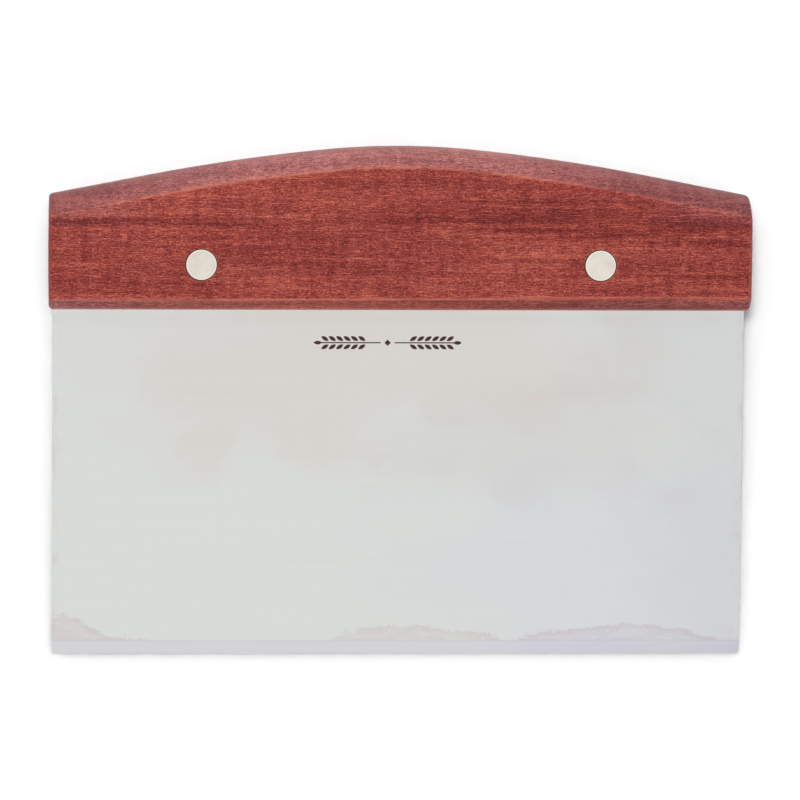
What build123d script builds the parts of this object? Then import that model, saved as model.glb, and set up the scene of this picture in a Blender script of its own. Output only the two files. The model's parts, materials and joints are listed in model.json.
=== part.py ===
from build123d import *
import math
import os

# Baker's bench scraper, lying on a bench the way it comes to rest: on its cutting edge and on the
# lower edge of the handle's back. Millimetres, +Z up, +X along the cutting edge, +Y from the edge
# towards the handle. The origin is on the bench, under the middle of the whole tool.
#
# The tool is drawn on its blade plane, tilted up from the bench: across the blade is the plane's x,
# up the blade from the cutting edge is its y, and out of the front face is its z.

# ---- driving dimensions -------------------------------------------------------------------------
blade_width = 150.0
blade_exposed = 76.0
blade_thickness = 1.0
blade_corner_radius = 0.6
edge_bevel = 3.0
edge_land = 0.4
edge_overrun = 1.0
tang_depth = 18.0
tang_corner = 3.0

handle_overhang = 0.85
handle_height = 35.0
handle_thickness = 18.0
crown_rise = 4.0
arch_middle_radius = 160.0
arch_side_radius = 400.0
arch_turn = 5.5
arch_overrun = 30.0
blank_spare = 2.0
end_bow_radius = 600.0
bottom_chamfer = 2.6
worn_radius = 1.0
kerf_relief = 1.0

rivet_spacing = 86.0
rivet_rise = 10.0
head_diameter = 6.7
head_thickness = 1.3
head_rounding = 0.2
head_sink = 0.03
head_gap = 0.15
stem_diameter = 2.6
stem_reach = 12.0
tube_diameter = 4.0
tube_reach = 14.0
bore_floor = 1.8
handle_hole_gap = 0.05
blade_hole_gap = 0.25

# ---- worked out from them -----------------------------------------------------------------------
half_blade = blade_thickness / 2
handle_length = blade_width + 2 * handle_overhang
half_thickness = handle_thickness / 2
apex_height = blade_exposed + handle_height
crown_radius = (half_thickness**2 + crown_rise**2) / (2 * crown_rise)
end_bow_height = blade_exposed + handle_height / 3
kerf_depth = tang_depth + kerf_relief
rivet_height = blade_exposed + rivet_rise

# How much each face falls towards the edge, for every millimetre of ground bevel.
bevel_slope = (half_blade - edge_land / 2) / edge_bevel

# The tool rests on its cutting edge and on the rounded lower edge of the handle's back. Where that
# edge's centre is, seen from the cutting edge, and its radius give the tilt.
chamfer_turn = math.radians(45)
rest_y = blade_exposed + bottom_chamfer + worn_radius * math.tan(chamfer_turn / 2)
rest_z = half_thickness - worn_radius - edge_land / 2
tilt = math.atan2(rest_z, rest_y) + math.asin(worn_radius / math.hypot(rest_y, rest_z))
tilt_cos = math.cos(tilt)
tilt_sin = math.sin(tilt)

# The tool's reach in Y, from the cutting edge to the crown, sets where its middle is.
edge_reach = -edge_land / 2 * tilt_sin
crown_reach = (apex_height - crown_radius) * tilt_cos + crown_radius
plane_origin = (0, -(edge_reach + crown_reach) / 2, edge_land / 2 * tilt_cos)
blade_plane = Plane(origin=plane_origin, x_dir=(1, 0, 0), z_dir=(0, -tilt_sin, tilt_cos))
section_plane = Plane(origin=plane_origin, x_dir=blade_plane.y_dir, z_dir=(1, 0, 0))
up_the_blade = Axis(plane_origin, blade_plane.y_dir)
out_of_the_face = Axis(plane_origin, blade_plane.z_dir)


def rivet_seat(side, facing):
    """The plane on a handle face over one rivet, facing out of it: 1 is the front, -1 the back."""
    centre = (side * rivet_spacing / 2, rivet_height, facing * half_thickness)
    return Plane(
        origin=blade_plane.from_local_coords(centre),
        x_dir=(1, 0, 0),
        z_dir=blade_plane.z_dir * facing,
    )


os.makedirs("parts", exist_ok=True)

# ---- blade: stainless sheet, ground to a narrow land, with a plain tang for the kerf -------------
with BuildPart() as blade:
    with BuildSketch(blade_plane) as blade_outline:
        Rectangle(blade_width, blade_exposed + tang_depth, align=(Align.CENTER, Align.MIN))
        fillet(blade_outline.vertices().group_by(Axis.Y)[0], blade_corner_radius)
        chamfer(blade_outline.vertices().group_by(Axis.Y)[-1], tang_corner)
    extrude(amount=half_blade, both=True)

    # Both faces are ground away below the bevel line.
    with BuildSketch(section_plane):
        for face in (1, -1):
            with BuildLine():
                Polyline(
                    (-edge_overrun, face * (edge_land / 2 - bevel_slope * edge_overrun)),
                    (edge_bevel, face * half_blade),
                    (edge_bevel, face * blade_thickness),
                    (-edge_overrun, face * blade_thickness),
                    close=True,
                )
            make_face()
    extrude(amount=blade_width, both=True, mode=Mode.SUBTRACT)

    # Holes for the rivets, a little larger than their tubes.
    with BuildSketch(blade_plane):
        with Locations((0, rivet_height)):
            with GridLocations(rivet_spacing, 0, 2, 1):
                Circle(tube_diameter / 2 + blade_hole_gap)
    extrude(amount=blade_thickness, both=True, mode=Mode.SUBTRACT)

blade.part.label = "blade"
export_step(blade.part, "parts/blade.step")

# ---- handle: one piece of hardwood, arched and crowned along the top, sawn along the bottom ------
# The line of the arch, past both ends: a tighter arc, an easier arc each side, then straight.
with BuildLine(blade_plane) as arch:
    middle = CenterArc(
        (0, apex_height - arch_middle_radius), arch_middle_radius, 90 - arch_turn, 2 * arch_turn
    )
    right_side = JernArc(middle @ 0, -(middle % 0), arch_side_radius, -arch_turn)
    left_side = JernArc(middle @ 1, middle % 1, arch_side_radius, arch_turn)
    Line(right_side @ 1, right_side @ 1 + (right_side % 1) * arch_overrun)
    Line(left_side @ 1, left_side @ 1 + (left_side % 1) * arch_overrun)
arch_path = arch.wire()

with BuildPart() as handle:
    # The blank: square along the bottom, with very slightly bowed ends.
    with BuildSketch(blade_plane):
        with Locations((0, blade_exposed)):
            Rectangle(handle_length, handle_height + blank_spare, align=(Align.CENTER, Align.MIN))
        for side in (1, -1):
            with Locations((side * (handle_length / 2 - end_bow_radius), end_bow_height)):
                Circle(end_bow_radius, mode=Mode.INTERSECT)
    extrude(amount=half_thickness, both=True)

    # A hollow-nosed cutter run along the arch leaves the crown.
    cutter_plane = Plane(origin=arch_path @ 0, x_dir=blade_plane.z_dir, z_dir=arch_path % 0)
    with BuildSketch(cutter_plane):
        with BuildLine():
            ThreePointArc((-half_thickness, -crown_rise), (0, 0), (half_thickness, -crown_rise))
            Polyline(
                (half_thickness, -crown_rise),
                (handle_thickness, -crown_rise),
                (handle_thickness, handle_height),
                (-handle_thickness, handle_height),
                (-handle_thickness, -crown_rise),
                (-half_thickness, -crown_rise),
            )
        make_face()
    sweep(path=arch_path, mode=Mode.SUBTRACT)

    # Chamfers along the bottom, then every outer edge worn round.
    bottom_face = handle.faces().sort_by(up_the_blade)[0]
    chamfer(bottom_face.edges().filter_by(Axis.X), bottom_chamfer)
    bottom_face = handle.faces().sort_by(up_the_blade)[0]
    flat_faces = handle.faces().filter_by(GeomType.PLANE).filter_by(out_of_the_face)
    end_faces = handle.faces().group_by(Axis.X)[0] + handle.faces().group_by(Axis.X)[-1]
    worn_edges = set(bottom_face.edges() + flat_faces.edges() + end_faces.edges())
    fillet(worn_edges, worn_radius)

    # The saw kerf that takes the tang, open along the bottom and at both ends.
    with BuildSketch(blade_plane):
        with Locations((0, blade_exposed)):
            Rectangle(2 * handle_length, 2 * kerf_depth)
    extrude(amount=half_blade, both=True, mode=Mode.SUBTRACT)

    # Each cheek is bored and counterbored from its own face for the rivets.
    for side in (-1, 1):
        with Locations(rivet_seat(side, 1), rivet_seat(side, -1)):
            CounterBoreHole(
                radius=tube_diameter / 2 + handle_hole_gap,
                counter_bore_radius=head_diameter / 2 + head_gap,
                counter_bore_depth=head_thickness + head_sink,
                depth=half_thickness,
            )

handle.part.label = "handle"
export_step(handle.part, "parts/handle.step")

# ---- compression rivets: a solid half pressed in from the front, a tubular half from the back ----
for rivet, side in (("left_rivet", -1), ("right_rivet", 1)):
    front_seat = rivet_seat(side, 1).offset(-head_sink)
    with BuildPart() as male:
        with BuildSketch(front_seat):
            Circle(head_diameter / 2)
        extrude(amount=-head_thickness)
        fillet(male.edges().group_by(out_of_the_face)[-1], head_rounding)
        with BuildSketch(front_seat.offset(-head_thickness)):
            Circle(stem_diameter / 2)
        extrude(amount=-stem_reach)
    male.part.label = rivet + "_male"
    export_step(male.part, "parts/" + rivet + "_male.step")

    back_seat = rivet_seat(side, -1).offset(-head_sink)
    with BuildPart() as female:
        with BuildSketch(back_seat):
            Circle(head_diameter / 2)
        extrude(amount=-head_thickness)
        fillet(female.edges().group_by(out_of_the_face)[0], head_rounding)
        with BuildSketch(back_seat.offset(-head_thickness)):
            Circle(tube_diameter / 2)
        extrude(amount=-tube_reach)
        with BuildSketch(back_seat.offset(-bore_floor)):
            Circle(stem_diameter / 2)
        extrude(amount=-(head_thickness + tube_reach - bore_floor), mode=Mode.SUBTRACT)
    female.part.label = rivet + "_female"
    export_step(female.part, "parts/" + rivet + "_female.step")
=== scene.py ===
import json
import math

import bpy
from mathutils import Matrix, Vector


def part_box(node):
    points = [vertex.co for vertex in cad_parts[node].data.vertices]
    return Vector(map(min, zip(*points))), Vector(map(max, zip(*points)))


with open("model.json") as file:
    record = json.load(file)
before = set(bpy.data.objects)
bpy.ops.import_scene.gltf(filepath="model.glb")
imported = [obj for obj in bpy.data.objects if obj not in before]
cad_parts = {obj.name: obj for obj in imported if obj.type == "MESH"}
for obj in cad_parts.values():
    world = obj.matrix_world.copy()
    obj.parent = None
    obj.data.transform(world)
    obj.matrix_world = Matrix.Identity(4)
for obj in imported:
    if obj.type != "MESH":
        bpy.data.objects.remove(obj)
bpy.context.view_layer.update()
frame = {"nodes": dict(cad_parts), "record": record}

# ---- the tool's own directions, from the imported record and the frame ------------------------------
# Patterns are drawn in millimetres on the blade's own sheet: x across the blade, y up from the
# cutting edge, z out of the front face. The record's front mount says how the sheet is tilted.
MM = 1000.0
MOUNTS = {mount["name"]: mount for mount in frame["record"]["mounts"]}
OUT = Vector(MOUNTS["handle_front"]["axis"]).normalized()
UP = Vector((0.0, OUT.z, -OUT.y))
ALONG = Vector((1.0, 0.0, 0.0))
TILT = math.atan2(-OUT.y, OUT.z)
EDGE = Vector((0.0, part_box("blade")[0][1], 0.0))
HALF_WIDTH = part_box("blade")[1][0] * MM
BEVEL = 3.0


def on_sheet(point):
    """A point of the frame, in metres, as millimetres on the blade's sheet."""
    away = Vector(point) - EDGE
    return Vector((away.x, away.dot(UP), away.dot(OUT))) * MM


def rivet_centre(side):
    """The middle of a rivet's front disc on the sheet, from the outermost points of its mesh."""
    points = [on_sheet(vertex.co) for vertex in frame["nodes"][side + "_rivet_male"].data.vertices]
    face = max(point.z for point in points)
    flatness = 0.01
    disc = [point for point in points if point.z > face - flatness]
    return sum(disc, Vector()) / len(disc)


def srgb(red, green, blue):
    """A display colour from 0 to 255 as the linear colour that shaders take."""
    def linear(level):
        level = level / 255
        return level / 12.92 if level <= 0.04045 else ((level + 0.055) / 1.055) ** 2.4
    return (linear(red), linear(green), linear(blue), 1.0)


# ---- node graph helper ----------------------------------------------------------------------------
# A length that makes a direction count for nothing in a distance.
FAR = 1.0e6


def fill_ramp(ramp, stops):
    """Gives a colour ramp its (position, colour) stops."""
    while len(ramp.elements) < len(stops):
        ramp.elements.new(0.5)
    for element, (position, colour) in zip(ramp.elements, stops):
        element.position = position
        element.color = colour


class Graph:
    """Builds one material's nodes. Values are sockets or plain numbers."""

    def __init__(self, name):
        self.material = bpy.data.materials.new(name)
        self.material.use_nodes = True
        self.nodes = self.material.node_tree.nodes
        self.links = self.material.node_tree.links
        self.shader = self.nodes["Principled BSDF"]

    def feed(self, socket, value):
        """Links a socket to another, or sets its own value."""
        if isinstance(value, bpy.types.NodeSocket):
            self.links.new(value, socket)
        elif value is not None:
            socket.default_value = value

    def node(self, kind, values=(), **settings):
        """Adds a node, with its settings and the values of its first inputs."""
        made = self.nodes.new(kind)
        for key, setting in settings.items():
            setattr(made, key, setting)
        for socket, value in zip(made.inputs, values):
            self.feed(socket, value)
        return made

    def maths(self, operation, a, b=None, clamp=False):
        return self.node("ShaderNodeMath", (a, b), operation=operation, use_clamp=clamp).outputs[0]

    def add(self, a, b):
        return self.maths("ADD", a, b)

    def multiply(self, *factors):
        """The product of two or more values."""
        product = factors[0]
        for factor in factors[1:]:
            product = self.maths("MULTIPLY", product, factor)
        return product

    def gap(self, value, middle=0.0):
        """How far a value is from a middle value, either way."""
        return self.maths("ABSOLUTE", self.maths("SUBTRACT", value, middle))

    def step(self, value, low, high, to_low=0.0, to_high=1.0):
        """A smooth step from to_low at low, to to_high at high."""
        made = self.node("ShaderNodeMapRange", interpolation_type="SMOOTHSTEP")
        for socket, number in zip(made.inputs, (value, low, high, to_low, to_high)):
            self.feed(socket, number)
        return made.outputs[0]

    def stretch(self, vector, lengths):
        """Divides a vector by the size of one pattern cell along each direction."""
        scale = tuple(1.0 / length for length in lengths)
        return self.node("ShaderNodeVectorMath", (vector, scale), operation="MULTIPLY").outputs[0]

    def noise(self, vector, lengths, detail=2.0, roughness=0.5, seed=0.0):
        """Smooth noise about 0, roughly from -1 to 1, with cells of the lengths given."""
        made = self.node("ShaderNodeTexNoise", noise_dimensions="4D", normalize=False)
        made.inputs["Scale"].default_value = 1.0
        made.inputs["W"].default_value = seed
        made.inputs["Detail"].default_value = detail
        made.inputs["Roughness"].default_value = roughness
        self.feed(made.inputs["Vector"], self.stretch(vector, lengths))
        return made.outputs["Fac"]

    def patterns(self, vector, settings):
        """Every noise of a table, by its name."""
        return {name: self.noise(vector, **values) for name, values in settings.items()}

    def mix(self, factor, a, b, blend="MIX"):
        """Mixes two colours."""
        made = self.node("ShaderNodeMix", data_type="RGBA", blend_type=blend, clamp_factor=True)
        self.feed(made.inputs["Factor"], factor)
        colours = [socket for socket in made.inputs if socket.type == "RGBA"]
        self.feed(colours[0], a)
        self.feed(colours[1], b)
        return [socket for socket in made.outputs if socket.type == "RGBA"][0]

    def tint(self, factor, colour, by):
        """Multiplies a colour by another, as strongly as the factor says."""
        return self.mix(factor, colour, by, blend="MULTIPLY")

    def ramp(self, value, stops):
        """A colour ramp through (position, colour) stops."""
        made = self.node("ShaderNodeValToRGB", (value,))
        fill_ramp(made.color_ramp, stops)
        return made.outputs["Color"]

    def bump(self, height, strength, distance):
        """A surface normal tipped by a height pattern."""
        made = self.node("ShaderNodeBump")
        made.inputs["Strength"].default_value = strength
        made.inputs["Distance"].default_value = distance
        self.feed(made.inputs["Height"], height)
        return made.outputs["Normal"]

    def distance(self, point, centre, size):
        """How far a point is from a centre, where 1 is the size given along each direction."""
        away = self.node("ShaderNodeVectorMath", (point, centre), operation="SUBTRACT").outputs[0]
        made = self.node("ShaderNodeVectorMath", (self.stretch(away, size),), operation="LENGTH")
        return made.outputs["Value"]

    def radius(self, point, centre):
        """How far a point is from the axis through a centre, square to the sheet."""
        return self.distance(point, (centre.x, centre.y, 0.0), (1.0, 1.0, FAR))

    def patch(self, point, centre, size, core, ragged, amount):
        """A soft patch: 1 in its core, 0 outside, with an edge that a noise moves."""
        reach = self.add(self.distance(point, centre, size), self.multiply(ragged, amount))
        return self.step(reach, core, 1.0, 1.0, 0.0)

    def profile(self, value, stops, highest):
        """A height over a length, joined smoothly through (length, height) stops."""
        low, high = stops[0][0], stops[-1][0]
        along = self.node("ShaderNodeMapRange", clamp=True)
        for socket, number in zip(along.inputs, (value, low, high, 0.0, 1.0)):
            self.feed(socket, number)
        grey = [((x - low) / (high - low), (h / highest,) * 3 + (1.0,)) for x, h in stops]
        return self.multiply(self.ramp(along.outputs[0], grey), highest)

    def facing(self, direction):
        """How squarely the surface faces a direction: 1 straight at it, 0 edge on."""
        normal = self.node("ShaderNodeTexCoord").outputs["Normal"]
        values = (normal, tuple(direction))
        return self.node("ShaderNodeVectorMath", values, operation="DOT_PRODUCT").outputs["Value"]

    def sheet_point(self):
        """The shaded point in millimetres on the blade's sheet."""
        turn = Matrix.Rotation(-TILT, 3, "X")
        made = self.node("ShaderNodeMapping", vector_type="POINT")
        self.feed(made.inputs["Vector"], self.node("ShaderNodeTexCoord").outputs["Object"])
        made.inputs["Location"].default_value = turn @ (-EDGE * MM)
        made.inputs["Rotation"].default_value = (-TILT, 0.0, 0.0)
        made.inputs["Scale"].default_value = (MM, MM, MM)
        return made.outputs["Vector"]

    def parts(self, vector):
        """The three parts of a vector."""
        return self.node("ShaderNodeSeparateXYZ", (vector,)).outputs

    def set(self, **values):
        """Sets or links inputs of the surface shader, named with underscores for spaces."""
        for name, value in values.items():
            self.feed(self.shader.inputs[name.replace("_", " ")], value)


# ---- wood -------------------------------------------------------------------------------------------
# Every tuple for a smooth step below gives where it starts and ends and, unless they are 0 and 1,
# its values there. Lengths are in millimetres on the sheet, and facings are cosines.
WOOD_PATTERNS = {
    "clouds": dict(lengths=(42.0, 6.0, 6.0), detail=2.0, seed=3.0),
    "bands": dict(lengths=(26.0, 1.1, 1.1), detail=2.0, roughness=0.6, seed=11.0),
    "mottle": dict(lengths=(1.6, 7.0, 7.0), detail=1.0, seed=21.0),
    "fibres": dict(lengths=(2.8, 0.23, 0.23), detail=1.0, seed=5.0),
    "threads": dict(lengths=(1.4, 0.18, 0.18), detail=1.0, seed=15.0),
    "flecks": dict(lengths=(0.50, 0.20, 0.20), detail=1.0, roughness=0.6, seed=7.0),
    "hairs": dict(lengths=(5.0, 0.16, 0.16), detail=1.0, seed=41.0),
    "pores": dict(lengths=(2.4, 0.17, 0.17), detail=1.0, seed=43.0),
    "breaks": dict(lengths=(4.0, 0.6, 0.6), detail=3.0, seed=31.0),
}
MIDDLE_TONE = 0.5
TONE_SHARES = {
    "clouds": 0.17, "bands": 0.14, "mottle": 0.13, "fibres": 0.28, "threads": 0.40, "flecks": 0.56,
}
HAIRS_SHOWN, HAIRS_TONE = (0.26, 0.50), 0.26
PORES_SHOWN, PORES_TONE = (0.28, 0.52), -0.27
END_GRAIN_SHOWN, END_GRAIN_TONE = (0.6, 0.95), -0.16

# Each dark zone: centre and size on the sheet, and how much darker. The zones on the right are partly
# growth zones and partly painted shade, the front darker towards the right.
WOOD_ZONES = (
    ((46.0, 95.5, 9.0), (52.0, 5.0, 14.0), 0.18),
    ((-52.0, 95.2, 9.0), (32.0, 2.0, 14.0), 0.18),
    ((-2.0, 93.5, 9.0), (16.0, 2.6, 14.0), 0.14),
    ((62.0, 84.0, 9.0), (44.0, 15.0, 14.0), 0.09),
    ((-62.0, 86.0, 9.0), (34.0, 16.0, 14.0), 0.05),
)
ZONE_CORE = 0.2
ZONE_RAGGEDNESS = 0.5

# The stained wood, and the pale colour painted over it as sheen, from the darkest tone to the palest.
STAINED_WOOD = ((0.00, srgb(76, 11, 11)), (0.50, srgb(130, 48, 42)), (1.00, srgb(178, 94, 77)))
SHEEN_WOOD = ((0.15, srgb(106, 66, 70)), (0.50, srgb(140, 98, 101)), (0.85, srgb(170, 128, 126)))

# Which faces are the crown and the chamfer, by how they face up the blade, and the handle's ends.
CROWN_FACING = (0.35, 0.68)
CHAMFER_FACING = (-0.68, -0.45, 1.0, 0.0)
OFF_END_FACES = (0.05, 0.3, 1.0, 0.0)
LEFT_PART = (-90.0, -20.0, 1.0, 0.0)
LEFT_TIP = (-76.0, -58.0, 0.4, 0.0)
RIGHT_PART = (18.0, 56.0)

# The painted sheen: how strong it is in the middle, and how much is added to that towards the ends.
CROWN_SHEEN, CROWN_SHEEN_ADDED = 0.44, -0.21
CHAMFER_SHEEN, CHAMFER_SHEEN_ADDED = 0.06, 0.18
CHAMFER_SHEEN_ALONG = (-60.0, 20.0, 1.8, 1.0)
CROWN_END_TINT = (0.68, 0.65, 0.74, 1.0)
# Painted shade: the chamfer, which faces down, is darkened, less towards the right.
CHAMFER_SHADE_TINT = (0.86, 0.90, 0.90, 1.0)
CHAMFER_SHADE_LEFT = (-75.0, 0.0)
CHAMFER_SHADE_RIGHT = (15.0, 60.0, 1.0, 0.6)
LOW_SHEEN = 0.16
LOW_SHEEN_RISE = (93.0, 97.5)
LOW_SHEEN_ENDS = (50.0, 66.0)

# The faint line level with the edge, at both ends: a painted highlight where the crease of a sanded
# facet would be; the facet is not modelled.
LEVEL_LINE = 0.22
LEVEL_LINE_HEIGHT = 99.7
LEVEL_LINE_WIDTH = (0.1, 0.45, 1.0, 0.0)
LEVEL_LINE_ENDS = (52.0, 60.0)
LEVEL_LINE_COLOUR = srgb(190, 120, 110)

# Painted highlights along the turned edges.
EDGE_HIGHLIGHT = 0.55
EDGE_HIGHLIGHT_FROM_SIDE = (0.60, 0.80)
EDGE_HIGHLIGHT_TO_FRONT = (0.93, 0.995, 1.0, 0.0)
EDGE_HIGHLIGHT_BREAKS = (-0.9, 0.4)
EDGE_HIGHLIGHT_LOST_ON_CHAMFER = -0.7
EDGE_HIGHLIGHT_TOWARDS_ENDS = (0.2, 0.8, 1.0, 0.45)
EDGE_HIGHLIGHT_LEFT_TIP = (-75.4, -74.0, 0.1, 1.0)
EDGE_HIGHLIGHT_COLOUR = srgb(190, 108, 92)
CREST_HEIGHT = (-50.0, 50.0, 78.30, 79.10)
CREST_WIDTH = (0.1, 0.5, 1.0, 0.0)
CREST_FACES = (7.8, 8.4)
CREST_BREAKS = (-0.9, 0.4, 0.13, 0.28)
CREST_HIGHLIGHT_COLOUR = srgb(196, 116, 100)
LOWEST_RISE = (76.15, 76.7, 0.45, 0.0)
LOWEST_FACES = (5.7, 6.2)
LOWEST_HIGHLIGHT_COLOUR = srgb(190, 132, 122)

# Painted light on the wall of the joint round each rivet, standing in for light bounced into it.
GAP_LIGHT_RADIUS = (3.51, 3.56, 1.0, 0.0)
GAP_LIGHT_COLOUR = srgb(170, 100, 84)

# The wood's finish.
WOOD_ROUGHNESS = 0.44
WOOD_FLECKS_ROUGHNESS = 0.06
WOOD_CROWN_ROUGHNESS = 0.05
WOOD_SPECULAR = 0.15
WOOD_FIBRES_HEIGHT = 0.5
WOOD_BUMP = 0.35
WOOD_BUMP_DEPTH = 0.00006


def wood_tone(g, point, patterns, end_on):
    """How pale the wood is: 0 is the darkest pore, 1 the palest fibre."""
    tone = MIDDLE_TONE
    for name, share in TONE_SHARES.items():
        tone = g.add(tone, g.multiply(patterns[name], share))

    # Single pale fibres and dark pores stand out here and there.
    tone = g.add(tone, g.multiply(g.step(patterns["hairs"], *HAIRS_SHOWN), HAIRS_TONE))
    tone = g.add(tone, g.multiply(g.step(patterns["pores"], *PORES_SHOWN), PORES_TONE))

    # Dark zones cross the front: growth zones, and on the right partly painted shade.
    for centre, size, depth in WOOD_ZONES:
        zone = g.patch(point, centre, size, ZONE_CORE, patterns["bands"], ZONE_RAGGEDNESS)
        tone = g.add(tone, g.multiply(zone, -depth))

    # End grain drinks more stain.
    tone = g.add(tone, g.multiply(g.step(end_on, *END_GRAIN_SHOWN), END_GRAIN_TONE))
    return g.maths("ADD", tone, 0.0, clamp=True)


def add_painted_sheen_and_shade(g, colour, sheen_colour, x, y, crown, chamfer, towards_ends):
    """Painted sheen on the crown, on the chamfer and a little below the crown at both ends, standing
    in for the light they reflect; painted shade on the chamfer; the crown darker towards both ends.
    """
    # Painted sheen: the crown is mixed towards a pale mauve, standing in for the light it reflects.
    crown_sheen = g.add(CROWN_SHEEN, g.multiply(towards_ends, CROWN_SHEEN_ADDED))
    chamfer_sheen = g.add(CHAMFER_SHEEN, g.multiply(towards_ends, CHAMFER_SHEEN_ADDED))
    chamfer_sheen = g.multiply(chamfer, chamfer_sheen, g.step(x, *CHAMFER_SHEEN_ALONG))
    colour = g.mix(g.add(g.multiply(crown, crown_sheen), chamfer_sheen), colour, sheen_colour)
    colour = g.tint(g.multiply(crown, towards_ends), colour, CROWN_END_TINT)
    # Painted shade: the chamfer, which faces down, is darker.
    shade = g.multiply(chamfer, g.step(x, *CHAMFER_SHADE_LEFT), g.step(x, *CHAMFER_SHADE_RIGHT))
    colour = g.tint(shade, colour, CHAMFER_SHADE_TINT)

    # At both ends the painted sheen runs on a little below the crown, standing in for a sanded facet
    # that is not modelled.
    low_sheen = g.multiply(g.step(y, *LOW_SHEEN_RISE), g.step(g.gap(x), *LOW_SHEEN_ENDS))
    low_sheen = g.multiply(low_sheen, g.maths("SUBTRACT", 1.0, crown))
    return g.mix(g.multiply(low_sheen, LOW_SHEEN), colour, sheen_colour)


def add_level_line(g, colour, x, y, off_ends):
    """A painted highlight: a faint lighter line at both ends, level with the cutting edge."""
    line = g.multiply(
        g.step(g.gap(y, LEVEL_LINE_HEIGHT), *LEVEL_LINE_WIDTH),
        g.step(g.gap(x), *LEVEL_LINE_ENDS),
        off_ends,
    )
    return g.mix(g.multiply(line, LEVEL_LINE), colour, LEVEL_LINE_COLOUR)


def add_painted_edge_highlights(g, colour, point, patterns, chamfer, towards_ends, off_ends):
    """Painted highlights: the turned edges and the chamfer's creases get soft lighter lines, broken
    along their length.
    """
    x, y, out = g.parts(point)
    out_facing = g.gap(g.facing(OUT))
    edge_highlight = g.multiply(
        g.step(out_facing, *EDGE_HIGHLIGHT_FROM_SIDE),
        g.step(out_facing, *EDGE_HIGHLIGHT_TO_FRONT),
        g.step(patterns["breaks"], *EDGE_HIGHLIGHT_BREAKS),
        g.add(1.0, g.multiply(chamfer, EDGE_HIGHLIGHT_LOST_ON_CHAMFER)),
        g.step(towards_ends, *EDGE_HIGHLIGHT_TOWARDS_ENDS),
        g.step(x, *EDGE_HIGHLIGHT_LEFT_TIP),
    )
    colour = g.mix(g.multiply(edge_highlight, EDGE_HIGHLIGHT), colour, EDGE_HIGHLIGHT_COLOUR)

    # Painted highlight: a wider lighter line along the front edge of the chamfer, higher towards the
    # right.
    crest = g.multiply(
        g.step(g.gap(y, g.step(x, *CREST_HEIGHT)), *CREST_WIDTH),
        g.step(g.gap(out), *CREST_FACES),
        off_ends,
        g.step(patterns["bands"], *CREST_BREAKS),
    )
    colour = g.mix(crest, colour, CREST_HIGHLIGHT_COLOUR)

    # Painted highlight: the lowest edge of the chamfer is paler, where its rounding catches the light.
    lowest = g.multiply(g.step(y, *LOWEST_RISE), g.step(g.gap(out), *LOWEST_FACES))
    return g.mix(lowest, colour, LOWEST_HIGHLIGHT_COLOUR)


def wood_material(rivets):
    """Red-stained hardwood: fine fibres along the handle, cross mottle and end grain, with painted
    sheen, shade and highlights.
    """
    g = Graph("stained_hardwood")
    point = g.sheet_point()
    x, y, _ = g.parts(point)
    patterns = g.patterns(point, WOOD_PATTERNS)
    end_on = g.gap(g.facing(ALONG))
    off_ends = g.step(end_on, *OFF_END_FACES)
    up_facing = g.facing(UP)
    crown = g.step(up_facing, *CROWN_FACING)
    chamfer = g.step(up_facing, *CHAMFER_FACING)
    towards_left = g.add(g.step(x, *LEFT_PART), g.step(x, *LEFT_TIP))
    towards_ends = g.add(towards_left, g.step(x, *RIGHT_PART))

    tone = wood_tone(g, point, patterns, end_on)
    sheen_colour = g.ramp(tone, SHEEN_WOOD)
    colour = g.ramp(tone, STAINED_WOOD)
    colour = add_painted_sheen_and_shade(g, colour, sheen_colour, x, y, crown, chamfer, towards_ends)
    colour = add_level_line(g, colour, x, y, off_ends)
    colour = add_painted_edge_highlights(g, colour, point, patterns, chamfer, towards_ends, off_ends)

    # Painted light: the wall of the joint round each rivet is lighter, standing in for light bounced
    # into it.
    for centre in rivets:
        gap_light = g.step(g.radius(point, centre), *GAP_LIGHT_RADIUS)
        colour = g.mix(gap_light, colour, GAP_LIGHT_COLOUR)

    roughness = g.add(g.multiply(patterns["flecks"], WOOD_FLECKS_ROUGHNESS), WOOD_ROUGHNESS)
    roughness = g.add(roughness, g.multiply(crown, WOOD_CROWN_ROUGHNESS))
    height = g.add(g.multiply(patterns["fibres"], WOOD_FIBRES_HEIGHT), patterns["flecks"])
    g.set(Base_Color=colour, Roughness=roughness, Specular_IOR_Level=WOOD_SPECULAR,
          Normal=g.bump(height, WOOD_BUMP, WOOD_BUMP_DEPTH))
    return g.material


# ---- steel ------------------------------------------------------------------------------------------
STEEL_PATTERNS = {
    "brushing": dict(lengths=(30.0, 0.16, 0.16), detail=2.0, seed=2.0),
    "crossing": dict(lengths=(0.16, 24.0, 0.16), detail=2.0, seed=4.0),
    "clouds": dict(lengths=(22.0, 16.0, 16.0), detail=5.0, roughness=0.55, seed=6.0),
    "teeth": dict(lengths=(0.35, 4.0, 4.0), detail=3.0, roughness=0.7, seed=9.0),
    "blotches": dict(lengths=(3.5, 1.6, 1.6), detail=3.0, roughness=0.6, seed=14.0),
    "rubs": dict(lengths=(1.2, 5.0, 1.2), detail=3.0, seed=17.0),
}
MIDDLE_GRAIN = 0.5
BRUSHING_SHARE = 0.12
CROSSING_SHARE = 0.07
STEEL = ((0.0, srgb(179, 181, 179)), (1.0, srgb(203, 205, 203)))

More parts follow.
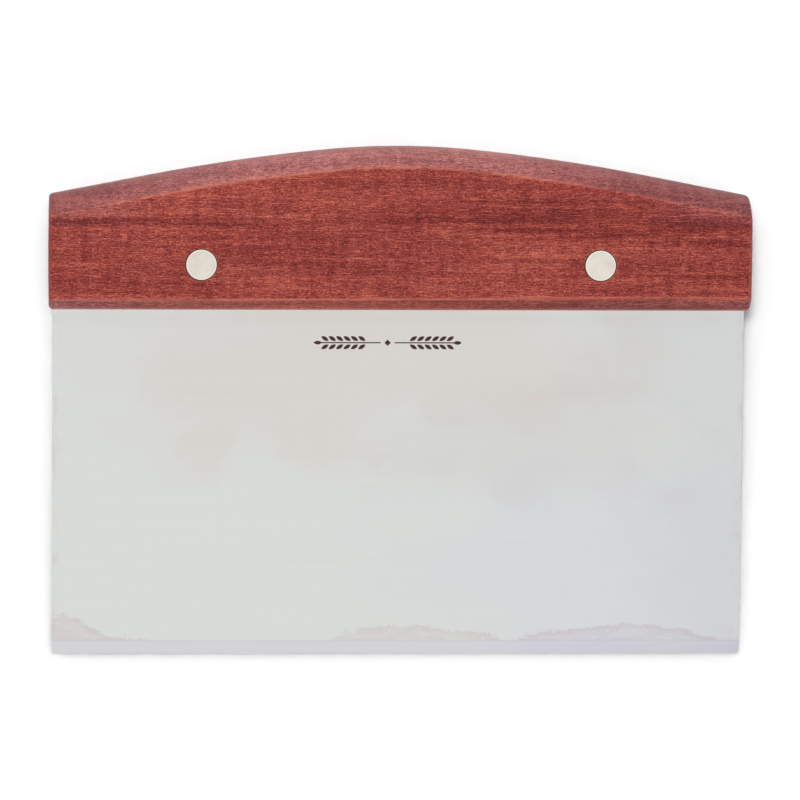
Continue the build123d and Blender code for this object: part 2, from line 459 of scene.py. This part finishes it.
# Each broad tint multiplies the steel's colour, in patches of centre, size and raggedness. The darker
# patches on the right half are partly painted shade, for the light falling off towards the right, and
# partly discolouration of the steel.
STEEL_TINTS = (
    ((0.99, 0.935, 0.92, 1.0), (
        ((-28.0, 60.0), (52.0, 24.0), 0.25),
        ((17.0, 63.0), (50.0, 18.0), 0.3),
        ((-40.0, 48.0), (14.0, 16.0), 0.6),
        ((-20.0, 48.0), (20.0, 12.0), 0.6),
        ((-3.0, 71.0), (68.0, 10.0), 0.3),
    )),
    ((0.96, 0.945, 0.94, 1.0), (
        ((30.0, 47.0), (46.0, 19.0), 0.3),
    )),
    ((0.98, 0.968, 1.015, 1.0), (
        ((46.0, 19.0), (60.0, 34.0), 0.35),
    )),
    ((0.945, 0.94, 0.96, 1.0), (
        ((82.0, 38.0), (40.0, 80.0), 0.2),
        ((66.0, 64.0), (44.0, 22.0), 0.3),
    )),
    ((0.95, 0.94, 0.96, 1.0), (
        ((66.0, -2.0), (60.0, 9.0), 0.2),
    )),
)
TINT_CORE = 0.3
TINT_THICKNESS = 30.0

# Each stain: its height above the bevel line across the blade, and the tints inside and on its rim.
STEEL_STAINS = (
    (((-76.0, 5.0), (-72.5, 6.4), (-69.6, 5.2), (-67.0, 3.2), (-62.6, 1.3), (-58.0, 0.6),
      (-50.0, 0.0)),
     (0.92, 0.855, 0.86, 1.0), (0.96, 0.93, 0.93, 1.0)),
    (((-14.5, 0.0), (-12.0, 2.2), (-6.0, 3.0), (2.0, 3.5), (12.0, 2.8), (19.0, 1.8),
      (24.0, 0.0)),
     (0.94, 0.90, 0.885, 1.0), (0.95, 0.91, 0.91, 1.0)),
    (((24.0, 0.0), (31.5, 2.0), (42.0, 3.0), (52.0, 4.3), (58.0, 3.4), (64.0, 2.1),
      (72.0, 0.0)),
     (0.93, 0.90, 0.93, 1.0), (0.90, 0.85, 0.86, 1.0)),
)
STAIN_CEILING = 8.0
STAIN_TEETH = 0.6
STAIN_BLOTCHES = 0.9
STAIN_EDGE = (0.0, 0.8)
STAIN_START = (0.05, 0.5)
STAIN_RIM = (0.3, 1.5, 1.0, 0.0)
STAIN_PATCHINESS = (-0.5, 0.4, 0.55, 1.0)

# The bevel line, the bevel below it, the painted light strip under the handle and the rubbed side
# edges.
ABOVE_BEVEL = (BEVEL - 0.1, BEVEL + 0.1)
BEVEL_TINT = (0.965, 0.945, 1.0, 1.0)
BEVEL_LINE = 0.5
BEVEL_LINE_WIDTH = (0.0, 0.2, 1.0, 0.0)
BEVEL_LINE_TINT = (0.82, 0.82, 0.87, 1.0)
LIT_STRIP = (73.5, 76.4)
LIT_STRIP_TINT = (1.18, 1.18, 1.18, 1.0)
SIDE_RUB = 0.4
SIDE_RUB_REACH = (HALF_WIDTH - 2.6, HALF_WIDTH - 0.2)
SIDE_RUB_SHOWN = (0.0, 0.5)
SIDE_RUB_TINT = (0.84, 0.78, 0.76, 1.0)

# The steel's finish.
STEEL_ROUGHNESS = 0.38
STEEL_GRAIN_ROUGHNESS = 0.03
STEEL_CROSSING_HEIGHT = 0.6
STEEL_BUMP = 0.08
STEEL_BUMP_DEPTH = 0.00001

# The etched ornament. A grain's size is half its length and half its width.
ETCHED_COLOUR = srgb(72, 52, 50)
ETCHED_ROUGHNESS = 0.2
ORNAMENT_CENTRE = (-2.4, 68.3)
GRAIN_PITCH = 1.6
GRAIN_SIZE = (0.95, 0.42)
GRAIN_RISE = 0.9
GRAIN_TURN = math.radians(32)
GRAIN_FIRST, GRAIN_LAST = 3, 9
GRAIN_EDGE = (0.85, 1.1, 1.0, 0.0)
TIP_OVERLAP = 0.8
STEM_WIDTH = (0.08, 0.18, 1.0, 0.0)
STEM_START = (1.4, 1.6)
DIAMOND_EDGE = (0.6, 0.8, 1.0, 0.0)
FRONT_FACING = (0.5, 0.9)


def add_tints(g, colour, point, clouds):
    """Broad tints: warm under the handle, cool towards the lower right; the darker right half is
    partly painted shade.
    """
    for tint, patches in STEEL_TINTS:
        cover = 0.0
        for centre, size, ragged in patches:
            patch = g.patch(point, (*centre, 0.0), (*size, TINT_THICKNESS), TINT_CORE, clouds, ragged)
            cover = g.maths("MAXIMUM", cover, patch)
        colour = g.tint(cover, colour, tint)
    return colour


def add_stains(g, colour, x, y, teeth, blotches):
    """Ragged stains left standing on the bevel line."""
    for stops, inside_tint, rim_tint in STEEL_STAINS:
        top = g.profile(x, stops, STAIN_CEILING)
        depth = g.maths("SUBTRACT", g.add(top, BEVEL), y)
        ragged = g.add(g.multiply(teeth, STAIN_TEETH), g.multiply(blotches, STAIN_BLOTCHES))
        depth = g.add(depth, ragged)
        cover = g.multiply(
            g.step(depth, *STAIN_EDGE), g.step(top, *STAIN_START), g.step(y, *ABOVE_BEVEL)
        )
        inside = g.multiply(cover, g.step(blotches, *STAIN_PATCHINESS))
        colour = g.tint(inside, colour, inside_tint)
        colour = g.tint(g.multiply(cover, g.step(depth, *STAIN_RIM)), colour, rim_tint)
    return colour


def add_bands(g, colour, x, y, rubs):
    """The ground bevel, its line, a painted light strip under the handle and rub marks at the sides.
    """
    # The ground bevel is a little cooler, with a fine dark line along its top.
    colour = g.tint(g.step(y, *ABOVE_BEVEL, 1.0, 0.0), colour, BEVEL_TINT)
    line = g.step(g.gap(y, BEVEL), *BEVEL_LINE_WIDTH)
    colour = g.tint(g.multiply(line, BEVEL_LINE), colour, BEVEL_LINE_TINT)

    # Painted light: the steel right under the handle is brightened, against the shade and the dark
    # reflection of the handle there.
    colour = g.tint(g.step(y, *LIT_STRIP), colour, LIT_STRIP_TINT)

    # Dark rub marks run along both side edges.
    rubbed = g.multiply(g.step(g.gap(x), *SIDE_RUB_REACH), g.step(rubs, *SIDE_RUB_SHOWN))
    return g.tint(g.multiply(rubbed, SIDE_RUB), colour, SIDE_RUB_TINT)


def ornament_grain(g, along, across, turn):
    """One pointed grain of wheat about a centre, turned from the stem."""
    length, width = GRAIN_SIZE
    long = g.add(g.multiply(along, math.cos(turn)), g.multiply(across, math.sin(turn)))
    wide = g.add(g.multiply(along, -math.sin(turn)), g.multiply(across, math.cos(turn)))
    taper = g.maths("POWER", g.multiply(long, 1 / length), 2.0)
    reach = g.add(taper, g.gap(g.multiply(wide, 1 / width)))
    return g.step(reach, *GRAIN_EDGE)


def wheat_ornament(g, x, y):
    """Two plain ears of wheat, mirrored about a small diamond."""
    along = g.gap(x, ORNAMENT_CENTRE[0])
    across = g.gap(y, ORNAMENT_CENTRE[1])
    ear_start = GRAIN_PITCH * GRAIN_FIRST
    ear_end = GRAIN_PITCH * GRAIN_LAST
    before_end = g.maths("LESS_THAN", along, ear_end)

    cell = g.maths("SUBTRACT", g.maths("FLOORED_MODULO", along, GRAIN_PITCH), GRAIN_PITCH / 2)
    grains = ornament_grain(g, cell, g.maths("SUBTRACT", across, GRAIN_RISE), GRAIN_TURN)
    ear = g.multiply(grains, g.maths("GREATER_THAN", along, ear_start), before_end)
    tip_centre = ear_end + GRAIN_SIZE[0] * TIP_OVERLAP
    tip = ornament_grain(g, g.maths("SUBTRACT", along, tip_centre), across, 0.0)
    stem = g.multiply(g.step(across, *STEM_WIDTH), g.step(along, *STEM_START), before_end)
    diamond = g.step(g.add(along, across), *DIAMOND_EDGE)

    drawn = g.maths("MAXIMUM", g.maths("MAXIMUM", ear, tip), g.maths("MAXIMUM", stem, diamond))
    return g.multiply(drawn, g.step(g.facing(OUT), *FRONT_FACING))


def blade_material():
    """Brushed stainless steel with heat and water tints and some painted shade, edge stains, a painted
    light strip under the handle and an etched ornament.
    """
    g = Graph("brushed_steel")
    point = g.sheet_point()
    x, y, _ = g.parts(point)
    patterns = g.patterns(point, STEEL_PATTERNS)
    brushing = patterns["brushing"]
    crossing = patterns["crossing"]

    grain = g.add(g.multiply(brushing, BRUSHING_SHARE), g.multiply(crossing, CROSSING_SHARE))
    colour = g.ramp(g.add(grain, MIDDLE_GRAIN), STEEL)
    colour = add_tints(g, colour, point, patterns["clouds"])
    colour = add_stains(g, colour, x, y, patterns["teeth"], patterns["blotches"])
    colour = add_bands(g, colour, x, y, patterns["rubs"])
    etched = wheat_ornament(g, x, y)
    colour = g.mix(etched, colour, ETCHED_COLOUR)

    roughness = g.multiply(g.add(brushing, crossing), STEEL_GRAIN_ROUGHNESS)
    roughness = g.add(roughness, STEEL_ROUGHNESS)
    roughness = g.add(roughness, g.multiply(etched, ETCHED_ROUGHNESS))
    height = g.add(brushing, g.multiply(crossing, STEEL_CROSSING_HEIGHT))
    g.set(Base_Color=colour, Metallic=1.0, Roughness=roughness,
          Normal=g.bump(height, STEEL_BUMP, STEEL_BUMP_DEPTH))
    return g.material


# ---- rivets -----------------------------------------------------------------------------------------
RIVET_PATTERNS = {
    "grinding": dict(lengths=(4.0, 0.1, 0.1), detail=2.0, seed=8.0),
    "clouds": dict(lengths=(2.5, 2.5, 2.5), detail=2.0, seed=12.0),
}
RIVET_MIDDLE = 0.5
RIVET_CLOUDS = 0.4
RIVET_METAL = ((0.2, srgb(192, 184, 174)), (0.8, srgb(204, 198, 189)))
RIVET_RIM = (2.9, 3.1)
RIVET_RIM_HIGHLIGHT = srgb(208, 204, 195)
RIVET_RING = 0.5
RIVET_RING_INNER = (2.5, 2.75)
RIVET_RING_OUTER = (2.8, 3.0, 1.0, 0.0)
RIVET_RING_TINT = (0.92, 0.91, 0.87, 1.0)
RIVET_ROUGHNESS = 0.33
RIVET_GRINDING_ROUGHNESS = 0.05
RIVET_BUMP = 0.1
RIVET_BUMP_DEPTH = 0.00001


def rivet_material(centre):
    """Pale ground metal, a little warm, with a painted highlight on the rim and a duller ring inside
    it.
    """
    g = Graph("rivet_metal")
    point = g.sheet_point()
    patterns = g.patterns(point, RIVET_PATTERNS)
    colour = g.ramp(g.add(g.multiply(patterns["clouds"], RIVET_CLOUDS), RIVET_MIDDLE), RIVET_METAL)
    radius = g.radius(point, centre)
    # Painted highlight: the rim of the head is lighter, where its rounded edge would catch the light.
    colour = g.mix(g.step(radius, *RIVET_RIM), colour, RIVET_RIM_HIGHLIGHT)
    ring = g.multiply(g.step(radius, *RIVET_RING_INNER), g.step(radius, *RIVET_RING_OUTER))
    colour = g.tint(g.multiply(ring, RIVET_RING), colour, RIVET_RING_TINT)
    grinding = patterns["grinding"]
    roughness = g.add(g.multiply(grinding, RIVET_GRINDING_ROUGHNESS), RIVET_ROUGHNESS)
    g.set(Base_Color=colour, Metallic=1.0, Roughness=roughness,
          Normal=g.bump(grinding, RIVET_BUMP, RIVET_BUMP_DEPTH))
    return g.material


def dress(node, material):
    """Gives a CAD node one material all over."""
    for slot in frame["nodes"][node].material_slots:
        slot.link = "DATA"
        slot.material = material


rivet_centres = {side: rivet_centre(side) for side in ("left", "right")}
dress("blade", blade_material())
dress("handle", wood_material(rivet_centres.values()))
for side, centre in rivet_centres.items():
    metal = rivet_material(centre)
    for half in ("male", "female"):
        dress(side + "_rivet_" + half, metal)


# ---- floor, light and camera ------------------------------------------------------------------------
FLOOR_SIZE = 12.0
FLOOR_GREY = 0.25
FLOOR_ROUGHNESS = 0.6
FLOOR_SPECULAR = 0.2
FLOOR_SCATTER = 0.03

# The dome's brightness against the sine of the height above the horizon.
DOME = ((0.0, 0.74), (0.12, 0.68), (0.35, 0.68), (0.75, 0.95), (1.0, 1.0))
DOME_STRENGTH = 1.38

KEY_PLACE = (-0.7, 1.1, 0.8)
KEY_AIM = (0.0, 0.0, 0.0)
KEY_SIZE = (1.6, 0.8)
KEY_POWER = 10.5

WASH_DIRECTION = (0.12, -0.16, -1.0)
WASH_ANGLE = math.radians(8)
WASH_STRENGTH = 11.3

# The camera hangs over the tool and looks straight down, but for a slight turn about each axis.
CAMERA_PLACE = (-0.07477, 0.01884, 1.3988)
CAMERA_TURN = (-0.0135, -0.05391, 0.00206)
FOCAL_LENGTH = 289.15
SENSOR_WIDTH = 36.0
VIEW_LIMIT = 100.0


def floor_material():
    """White acrylic: light that enters beside the tool comes back soft, so the contact shadow is."""
    g = Graph("white_acrylic")
    g.set(Base_Color=(FLOOR_GREY, FLOOR_GREY, FLOOR_GREY, 1.0), Roughness=FLOOR_ROUGHNESS,
          Specular_IOR_Level=FLOOR_SPECULAR, Subsurface_Weight=1.0,
          Subsurface_Radius=(1.0, 1.0, 1.0), Subsurface_Scale=FLOOR_SCATTER)
    return g.material


def make_floor():
    """A plain square floor."""
    half = FLOOR_SIZE / 2
    mesh = bpy.data.meshes.new("floor")
    corners = [(-half, -half, 0.0), (half, -half, 0.0), (half, half, 0.0), (-half, half, 0.0)]
    mesh.from_pydata(corners, [], [(0, 1, 2, 3)])
    mesh.materials.append(floor_material())
    floor = bpy.data.objects.new("floor", mesh)
    bpy.context.collection.objects.link(floor)
    return floor


def make_world():
    """A soft white dome, brightest overhead."""
    world = bpy.data.worlds.new("studio")
    world.use_nodes = True
    nodes = world.node_tree.nodes
    links = world.node_tree.links
    direction = nodes.new("ShaderNodeSeparateXYZ")
    links.new(nodes.new("ShaderNodeTexCoord").outputs["Generated"], direction.inputs[0])
    height = nodes.new("ShaderNodeValToRGB")
    height.color_ramp.interpolation = "EASE"
    fill_ramp(height.color_ramp, [(sine, (level, level, level, 1.0)) for sine, level in DOME])
    links.new(direction.outputs["Z"], height.inputs[0])
    links.new(height.outputs["Color"], nodes["Background"].inputs["Color"])
    nodes["Background"].inputs["Strength"].default_value = DOME_STRENGTH
    bpy.context.scene.world = world


def make_lamp(name, kind, strength, direction, receivers, place=(0.0, 0.0, 0.0)):
    """A lamp whose light is kept to some objects, so it never shows as a glare in the steel."""
    data = bpy.data.lights.new(name, kind)
    data.energy = strength
    lamp = bpy.data.objects.new(name, data)
    lamp.location = place
    lamp.rotation_euler = Vector(direction).to_track_quat("-Z", "Y").to_euler()
    bpy.context.collection.objects.link(lamp)
    lit = bpy.data.collections.new(name + "_receivers")
    for receiver in receivers:
        lit.objects.link(receiver)
    lamp.light_linking.receiver_collection = lit
    return data


def make_key(*receivers):
    """The key light: a large softbox above and behind the handle's left end."""
    aim = Vector(KEY_AIM) - Vector(KEY_PLACE)
    data = make_lamp("key", "AREA", KEY_POWER, aim, receivers, KEY_PLACE)
    data.shape = "RECTANGLE"
    data.size, data.size_y = KEY_SIZE


def make_wash(*receivers):
    """Light from nearly overhead, which keeps the floor white."""
    data = make_lamp("floor_wash", "SUN", WASH_STRENGTH, WASH_DIRECTION, receivers)
    data.angle = WASH_ANGLE


def make_camera():
    data = bpy.data.cameras.new("camera")
    data.sensor_width = SENSOR_WIDTH
    data.lens = FOCAL_LENGTH
    data.clip_end = VIEW_LIMIT
    camera = bpy.data.objects.new("camera", data)
    camera.location = CAMERA_PLACE
    camera.rotation_euler = CAMERA_TURN
    bpy.context.collection.objects.link(camera)
    bpy.context.scene.camera = camera


floor = make_floor()
make_world()
make_key(frame["nodes"]["handle"], floor)
make_wash(floor)
make_camera()
bpy.context.scene.view_settings.view_transform = "Standard"

# ---- bring the view layer up to date ----------------------------------------------------------------
bpy.context.view_layer.update()
